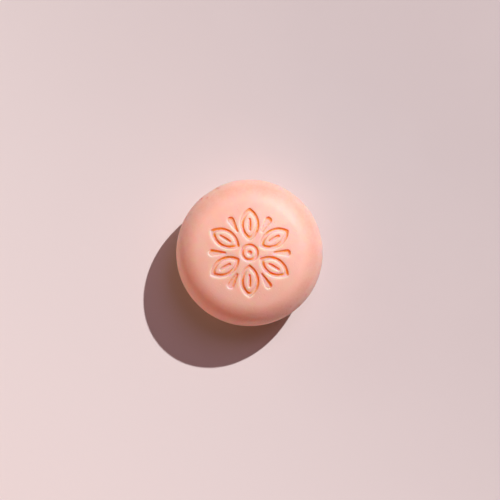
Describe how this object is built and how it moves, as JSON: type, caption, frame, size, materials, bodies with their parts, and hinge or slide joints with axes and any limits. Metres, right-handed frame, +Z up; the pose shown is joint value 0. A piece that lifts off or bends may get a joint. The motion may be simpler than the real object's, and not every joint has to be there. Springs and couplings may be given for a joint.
{
  "type": "conditioner bar",
  "caption": "Round pebble-shaped solid conditioner bar with a gently domed top, soft rounded sides, a flat seat and a stamped rosette of leaves.",
  "frame": {"origin": "centre of the flat seat that the bar rests on", "axes": "+Z up along the bar's axis, from the seat to the stamped top; +Y along one petal of the rosette"},
  "size_m": [0.06, 0.06, 0.0305],
  "materials": {
    "bar": "matte to satin waxy pressed bar, pink salmon, slightly translucent"
  },
  "bodies": {
    "root": {"conditioner_bar": "bar"}
  },
  "joints": []
}
